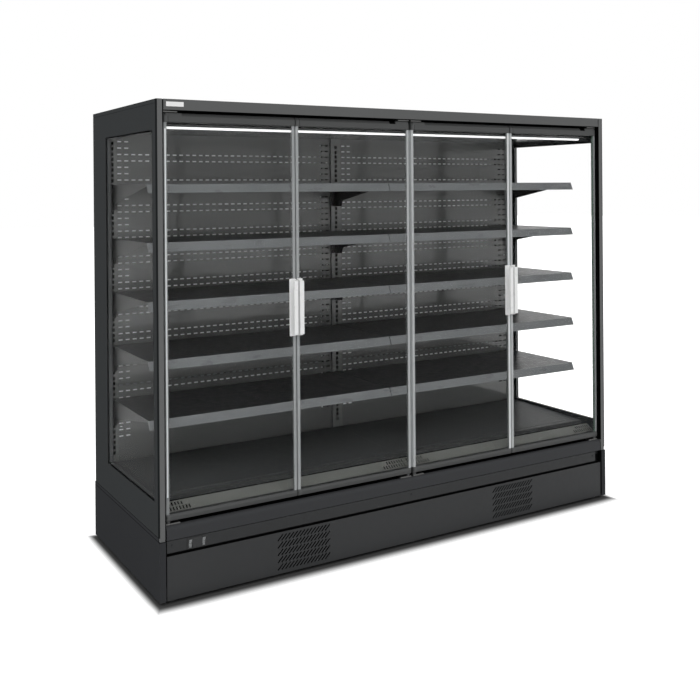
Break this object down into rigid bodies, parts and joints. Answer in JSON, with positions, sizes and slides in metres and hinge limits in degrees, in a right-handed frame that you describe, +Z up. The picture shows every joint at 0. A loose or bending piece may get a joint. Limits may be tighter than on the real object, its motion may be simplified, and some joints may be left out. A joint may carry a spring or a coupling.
{
  "type": "glass-door multideck display fridge",
  "caption": "Long glass-door multideck display fridge with windowed end walls, hinged doors, slotted uprights, shelves on brackets and a vented machine base.",
  "frame": {"origin": "centre of the whole object's bounding box, on the floor", "axes": "+X along the front, to the right of someone facing the doors; +Y from the front to the back; +Z up"},
  "size_m": [2.5, 0.912, 2.04],
  "materials": {
    "frame_steel": "satin",
    "foot_plastic": "matte",
    "dark_paint": "satin",
    "bumper_plastic": "satin",
    "black_plastic": "satin",
    "rocker_plastic": "satin",
    "inner_panel": "satin",
    "end_paint": "satin",
    "glass": "gloss",
    "spacer": "satin",
    "grey_profile": "satin",
    "fascia_paint": "satin",
    "badge": "satin",
    "inner_paint": "satin",
    "lamp_back": "satin",
    "lamp_lens": "satin",
    "grille_plastic": "matte",
    "hinge_steel": "satin",
    "rail_grey": "satin",
    "bracket_paint": "satin",
    "shelf_paint": "satin",
    "coil": "satin",
    "fan_plastic": "matte",
    "compressor_paint": "gloss",
    "tray_plastic": "matte",
    "box_plastic": "matte",
    "screw_steel": "satin",
    "door_profile": "satin",
    "handle": "satin"
  },
  "bodies": {
    "cabinet": {"base_frame": "frame_steel", "levelling_feet": "foot_plastic", "base_cover_left": "dark_paint", "base_cover_right": "dark_paint", "kickplate": "dark_paint", "control_band": "dark_paint", "bumper": "bumper_plastic", "controller": "black_plastic", "tub": "inner_panel", "rear_wall": "inner_panel", "roof": "inner_panel", "end_panel_left": "end_paint", "end_panel_right": "end_paint", "end_windows": "glass", "window_spacers": "spacer", "end_front_profiles": "grey_profile", "canopy_fascia": "fascia_paint", "blank_badge": "badge", "door_head": "inner_paint", "lamp_profile": "lamp_back", "lamp_diffuser": "lamp_lens", "air_grille": "grille_plastic", "door_sill": "inner_paint", "hinge_brackets": "hinge_steel", "uprights": "inner_paint", "duct_panels": "inner_paint", "price_rails": "rail_grey", "shelf_brackets": "bracket_paint", "decks": "inner_paint", "return_grille": "inner_paint", "condensers": "coil", "compressors": "compressor_paint", "drain_tray": "tray_plastic", "electrical_box": "box_plastic", "evaporators": "coil", "screws": "screw_steel", "shelf_1": "shelf_paint", "shelf_2": "shelf_paint", "shelf_3": "shelf_paint", "shelf_4": "shelf_paint", "shelf_5": "shelf_paint"},
    "door_1": {"door_1_frame": "door_profile", "door_1_glazing": "glass", "door_1_handle": "handle"},
    "door_2": {"door_2_frame": "door_profile", "door_2_glazing": "glass", "door_2_handle": "handle"},
    "door_3": {"door_3_frame": "door_profile", "door_3_glazing": "glass", "door_3_handle": "handle"},
    "door_4": {"door_4_frame": "door_profile", "door_4_glazing": "glass", "door_4_handle": "handle"},
    "rocker_cooling": {"rocker_cooling": "rocker_plastic"},
    "rocker_lamp": {"rocker_lamp": "rocker_plastic"},
    "condenser_fan_left": {"condenser_fan_left": "fan_plastic"},
    "condenser_fan_right": {"condenser_fan_right": "fan_plastic"},
    "evaporator_fan_left": {"evaporator_fan_left": "fan_plastic"},
    "evaporator_fan_right": {"evaporator_fan_right": "fan_plastic"}
  },
  "joints": [
    {"name": "door_1_hinge", "type": "hinge", "parent": "cabinet", "child": "door_1", "pos_m": [-1.202, -0.414, 1.1565], "axis": [0, 0, -1], "range_deg": [0, 85], "stiffness_Nm_per_rad": 2},
    {"name": "door_2_hinge", "type": "hinge", "parent": "cabinet", "child": "door_2", "pos_m": [-0.018, -0.414, 1.1565], "axis": [0, 0, 1], "range_deg": [0, 85], "stiffness_Nm_per_rad": 2},
    {"name": "door_3_hinge", "type": "hinge", "parent": "cabinet", "child": "door_3", "pos_m": [0.018, -0.414, 1.1565], "axis": [0, 0, -1], "range_deg": [0, 85], "stiffness_Nm_per_rad": 2},
    {"name": "door_4_hinge", "type": "hinge", "parent": "cabinet", "child": "door_4", "pos_m": [1.202, -0.414, 1.1565], "axis": [0, 0, 1], "range_deg": [0, 85], "stiffness_Nm_per_rad": 2},
    {"name": "rocker_cooling_tilt", "type": "hinge", "parent": "cabinet", "child": "rocker_cooling", "pos_m": [-1.118, -0.437, 0.2285], "axis": [-1, 0, 0], "range_deg": [0, 16]},
    {"name": "rocker_lamp_tilt", "type": "hinge", "parent": "cabinet", "child": "rocker_lamp", "pos_m": [-1.059, -0.437, 0.2285], "axis": [-1, 0, 0], "range_deg": [0, 16]},
    {"name": "condenser_fan_left_spin", "type": "hinge", "parent": "cabinet", "child": "condenser_fan_left", "pos_m": [-0.59, -0.369, 0.1015], "axis": [0, 1, 0], "continuous": true},
    {"name": "condenser_fan_right_spin", "type": "hinge", "parent": "cabinet", "child": "condenser_fan_right", "pos_m": [0.601, -0.369, 0.1015], "axis": [0, 1, 0], "continuous": true},
    {"name": "evaporator_fan_left_spin", "type": "hinge", "parent": "cabinet", "child": "evaporator_fan_left", "pos_m": [-0.61, -0.051, 0.332], "axis": [0, 1, 0], "continuous": true},
    {"name": "evaporator_fan_right_spin", "type": "hinge", "parent": "cabinet", "child": "evaporator_fan_right", "pos_m": [0.61, -0.051, 0.332], "axis": [0, 1, 0], "continuous": true}
  ]
}
